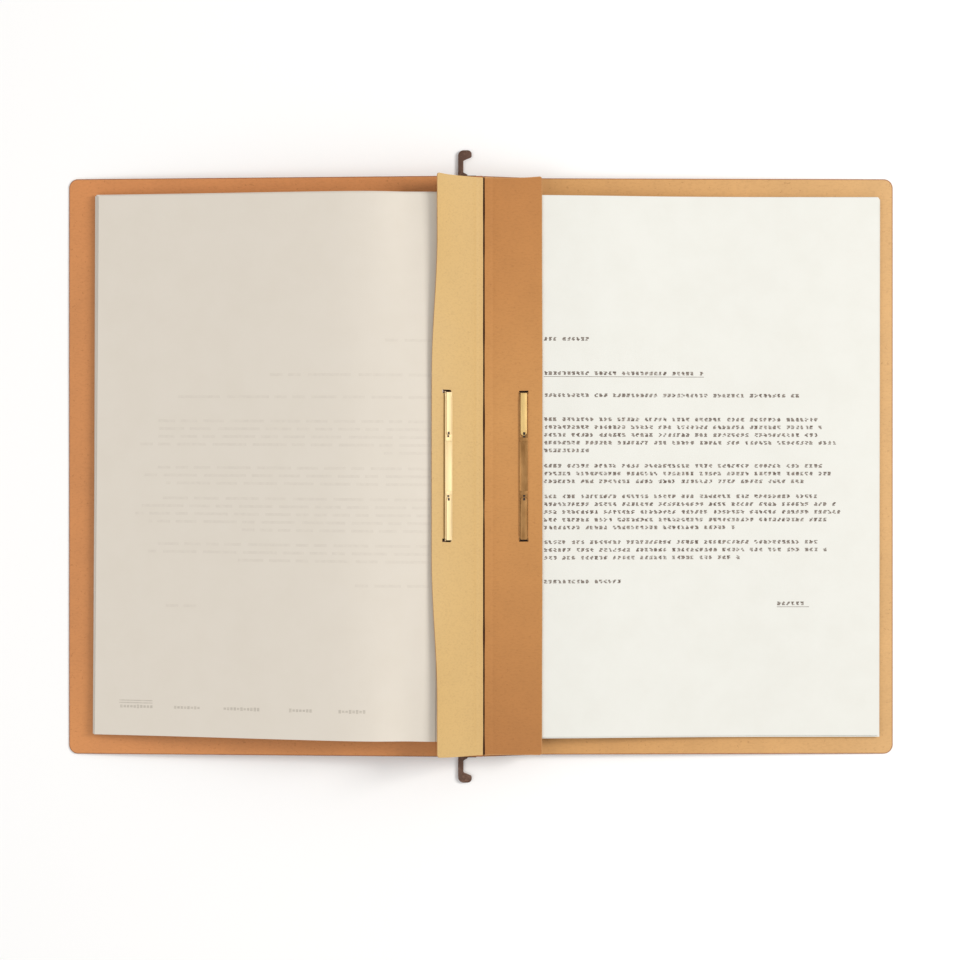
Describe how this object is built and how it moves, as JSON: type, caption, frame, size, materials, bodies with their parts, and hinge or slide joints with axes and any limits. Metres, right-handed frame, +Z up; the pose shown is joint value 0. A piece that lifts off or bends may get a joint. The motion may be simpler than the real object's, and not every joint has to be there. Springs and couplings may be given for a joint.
{
  "type": "suspension file",
  "caption": "Open suspension file of kraft card with a hanger rail, two filing wings with brass prong fasteners, and A4 sheets on both sides.",
  "frame": {"origin": "bottom centre of the open file, on the surface it lies on", "axes": "+X across the open file from the front half to the back half, +Y along the spine, +Z up"},
  "size_m": [0.456, 0.35, 0.035],
  "materials": {
    "kraft_card": "calendered kraft card, soft sheen",
    "steel_rail": "dark brown lacquered steel",
    "brass": "satin brass-plated steel",
    "paper_sheets": "uncoated office paper"
  },
  "bodies": {
    "back_half": {"back_cover": "kraft_card", "hanger_sleeve": "kraft_card", "hanger_rail": "steel_rail", "upper_hook": "steel_rail", "lower_hook": "steel_rail"},
    "front_spine_panel": {"front_spine": "kraft_card"},
    "front_cover_panel": {"front_cover": "kraft_card"},
    "right_leaf": {"right_wing": "kraft_card", "right_sheet_margin": "paper_sheets", "right_fastener_base": "brass", "right_fastener_bar": "brass", "right_sheets": "paper_sheets"},
    "left_leaf": {"left_wing": "kraft_card", "left_sheet_margin": "paper_sheets", "left_fastener_base": "brass", "left_fastener_bar": "brass"},
    "left_bundle": {"left_sheets": "paper_sheets"},
    "left_page": {"left_top_sheet": "paper_sheets"},
    "right_page": {"right_top_sheet": "paper_sheets"},
    "left_upper_prong": {"left_upper_tongue": "brass"},
    "left_lower_prong": {"left_lower_tongue": "brass"},
    "right_upper_prong": {"right_upper_tongue": "brass"},
    "right_lower_prong": {"right_lower_tongue": "brass"}
  },
  "joints": [
    {"name": "spine_fold", "type": "hinge", "parent": "back_half", "child": "front_spine_panel", "pos_m": [0.0015, 0, 0.016], "axis": [0, 1, 0], "range_deg": [0, 134]},
    {"name": "front_cover_score", "type": "hinge", "parent": "front_spine_panel", "child": "front_cover_panel", "pos_m": [-0.024, 0, 0.016], "axis": [0, 1, 0], "range_deg": [0, 45.05]},
    {"name": "left_leaf_crease", "type": "hinge", "parent": "front_spine_panel", "child": "left_leaf", "pos_m": [0.0015, 0, 0.016], "axis": [0, -1, 0], "range_deg": [-20, 0]},
    {"name": "left_sheets_bend", "type": "hinge", "parent": "left_leaf", "child": "left_bundle", "pos_m": [-0.02458, 0, 0.03285], "axis": [0, 1, 0], "range_deg": [0, 49.05]},
    {"name": "left_page_turn", "type": "hinge", "parent": "left_bundle", "child": "left_page", "pos_m": [-0.0283, 0, 0.03383], "axis": [0, -1, 0], "range_deg": [-65, 0]},
    {"name": "right_leaf_crease", "type": "hinge", "parent": "back_half", "child": "right_leaf", "pos_m": [0.0015, 0, 0.016], "axis": [0, 1, 0], "range_deg": [-25, 0]},
    {"name": "right_page_turn", "type": "hinge", "parent": "right_leaf", "child": "right_page", "pos_m": [0.0342, 0, 0.01508], "axis": [0, 1, 0], "range_deg": [-65, 0]},
    {"name": "left_upper_tongue_fold", "type": "hinge", "parent": "left_leaf", "child": "left_upper_prong", "pos_m": [-0.01729, 0.04, 0.0308], "axis": [0.809, 0, -0.5878], "range_deg": [-90, 0]},
    {"name": "left_lower_tongue_fold", "type": "hinge", "parent": "left_leaf", "child": "left_lower_prong", "pos_m": [-0.01729, -0.04, 0.0308], "axis": [-0.809, 0, 0.5878], "range_deg": [-90, 0]},
    {"name": "right_upper_tongue_fold", "type": "hinge", "parent": "right_leaf", "child": "right_upper_prong", "pos_m": [0.0234, 0.04, 0.01692], "axis": [1, 0, 0], "range_deg": [-90, 0]},
    {"name": "right_lower_tongue_fold", "type": "hinge", "parent": "right_leaf", "child": "right_lower_prong", "pos_m": [0.0234, -0.04, 0.01692], "axis": [-1, 0, 0], "range_deg": [-90, 0]}
  ],
  "couplings": [
    {"joint": "front_cover_score", "follows": "spine_fold", "ratio": 0.33582},
    {"joint": "left_sheets_bend", "follows": "spine_fold", "ratio": 0.36567}
  ]
}
